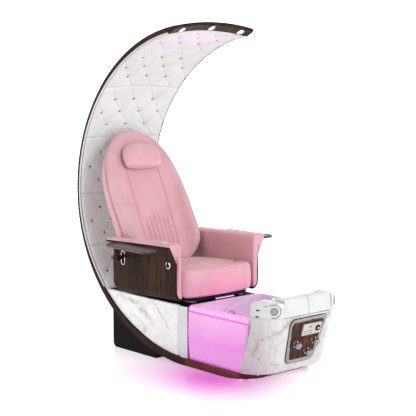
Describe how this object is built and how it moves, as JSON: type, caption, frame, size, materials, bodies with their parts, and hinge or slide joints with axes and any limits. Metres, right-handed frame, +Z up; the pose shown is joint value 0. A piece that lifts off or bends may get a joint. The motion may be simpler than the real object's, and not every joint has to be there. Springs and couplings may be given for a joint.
{
  "type": "pedicure spa chair",
  "caption": "Pedicure spa chair: tufted crescent canopy over a reclining sliding seat, swing-out trays, lit foot basin and a control panel in the nose.",
  "frame": {"origin": "on the floor, on the centre line, under the steel base pan", "axes": "+Z up, -Y the way the sitter faces, +X the sitter's left"},
  "size_m": [1.055, 1.7527, 2.0005],
  "materials": {
    "walnut": "dark walnut veneer, satin lacquer",
    "white_leather": "white upholstery leather, sewn",
    "pink_leather": "dusty pink upholstery leather, sewn",
    "marble": "gloss acrylic with a white marble pattern",
    "white_gloss": "white gloss",
    "chrome": "polished",
    "rail_steel": "ground",
    "black_steel": "black powder coat",
    "black_plastic": "black, satin",
    "glow_glass": "translucent acrylic, lit from inside",
    "keypad_silver": "satin silver",
    "tray_plastic": "dark grey gloss"
  },
  "bodies": {
    "base": {"crescent_shell": "walnut", "canopy_fascia": "walnut", "plinth": "walnut", "control_plate": "walnut", "liner_panel_1": "white_leather", "liner_panel_2": "white_leather", "liner_panel_3": "white_leather", "liner_panel_4": "white_leather", "liner_panel_5": "white_leather", "liner_panel_6": "white_leather", "footrest_pad_right": "white_leather", "footrest_pad_left": "white_leather", "nose_shell": "marble", "side_panel_right": "marble", "side_panel_left": "marble", "shoulder_right": "white_gloss", "shoulder_left": "white_gloss", "downlight_right": "chrome", "downlight_middle": "chrome", "downlight_left": "chrome", "control_bezel": "chrome", "drain_cap": "chrome", "jet_housing": "chrome", "pillar_right": "chrome", "pillar_left": "chrome", "seat_rail_right": "rail_steel", "seat_rail_left": "rail_steel", "base_pan": "black_steel", "rear_housing": "black_plastic", "seat_deck": "black_plastic", "frame_rib_right": "black_plastic", "frame_rib_left": "black_plastic", "basin": "glow_glass", "keypad": "keypad_silver"},
    "seat": {"seat_carriage": "black_steel", "seat_cushion": "pink_leather", "switch_bezel": "chrome", "arm_remote": "white_gloss", "recline_axle": "rail_steel", "side_shell_right": "walnut", "side_shell_left": "walnut", "arm_pad_right": "pink_leather", "arm_pad_left": "pink_leather", "tray_arm_right": "black_plastic", "tray_arm_left": "black_plastic"},
    "back": {"back_shell": "pink_leather", "back_bolster": "pink_leather", "back_panel": "pink_leather", "head_pillow": "pink_leather", "back_lug": "black_steel"},
    "right_tray": {"tray_right": "tray_plastic"},
    "left_tray": {"tray_left": "tray_plastic"},
    "switch": {"seat_switch": "black_plastic"},
    "lever": {"release_bar": "chrome"},
    "right_knob": {"knob_right": "chrome"},
    "middle_knob": {"knob_middle": "chrome"},
    "left_knob": {"knob_left": "chrome"},
    "dial": {"keypad_dial": "black_plastic"},
    "spout": {"spout": "chrome"},
    "impeller": {"jet_impeller": "white_gloss"}
  },
  "joints": [
    {"name": "seat_slide", "type": "slide", "parent": "base", "child": "seat", "axis": [0, -1, 0], "range_m": [0, 0.1]},
    {"name": "back_recline", "type": "hinge", "parent": "seat", "child": "back", "pos_m": [0, 0.335, 0.452], "axis": [1, 0, 0], "range_deg": [0, 12]},
    {"name": "tray_right_swivel", "type": "hinge", "parent": "seat", "child": "right_tray", "pos_m": [-0.445, 0.295, 0.672], "axis": [0, 0, 1], "range_deg": [-80, 2]},
    {"name": "tray_left_swivel", "type": "hinge", "parent": "seat", "child": "left_tray", "pos_m": [0.445, 0.295, 0.672], "axis": [0, 0, 1], "range_deg": [-3, 79]},
    {"name": "seat_switch_press", "type": "slide", "parent": "seat", "child": "switch", "axis": [1, 0, 0], "range_m": [0, 0.002], "stiffness_N_per_m": 600, "springref_m": -0.002},
    {"name": "release_lever", "type": "hinge", "parent": "seat", "child": "lever", "pos_m": [0, -0.1504, 0.3768], "axis": [1, 0, 0], "range_deg": [-15, 0], "stiffness_Nm_per_rad": 2, "springref_deg": 8.59},
    {"name": "knob_right_turn", "type": "hinge", "parent": "base", "child": "right_knob", "pos_m": [-0.064, -0.82228, 0.21339], "axis": [0, -0.9546, -0.2979], "range_deg": [-135, 135]},
    {"name": "knob_middle_turn", "type": "hinge", "parent": "base", "child": "middle_knob", "pos_m": [0.04, -0.80511, 0.15839], "axis": [0, -0.9546, -0.2979], "range_deg": [-135, 135]},
    {"name": "knob_left_turn", "type": "hinge", "parent": "base", "child": "left_knob", "pos_m": [0.082, -0.8229, 0.21539], "axis": [0, -0.9546, -0.2979], "range_deg": [-135, 135]},
    {"name": "dial_turn", "type": "hinge", "parent": "base", "child": "dial", "pos_m": [0.076, -0.85653, 0.29159], "axis": [0, -0.9546, -0.2979], "continuous": true},
    {"name": "spout_swing", "type": "hinge", "parent": "base", "child": "spout", "pos_m": [-0.055, -0.684, 0.3664], "axis": [0, 0, 1], "range_deg": [-75, 75]},
    {"name": "impeller_spin", "type": "hinge", "parent": "base", "child": "impeller", "pos_m": [0, -0.2172, 0.26], "axis": [0, -1, 0], "continuous": true}
  ]
}
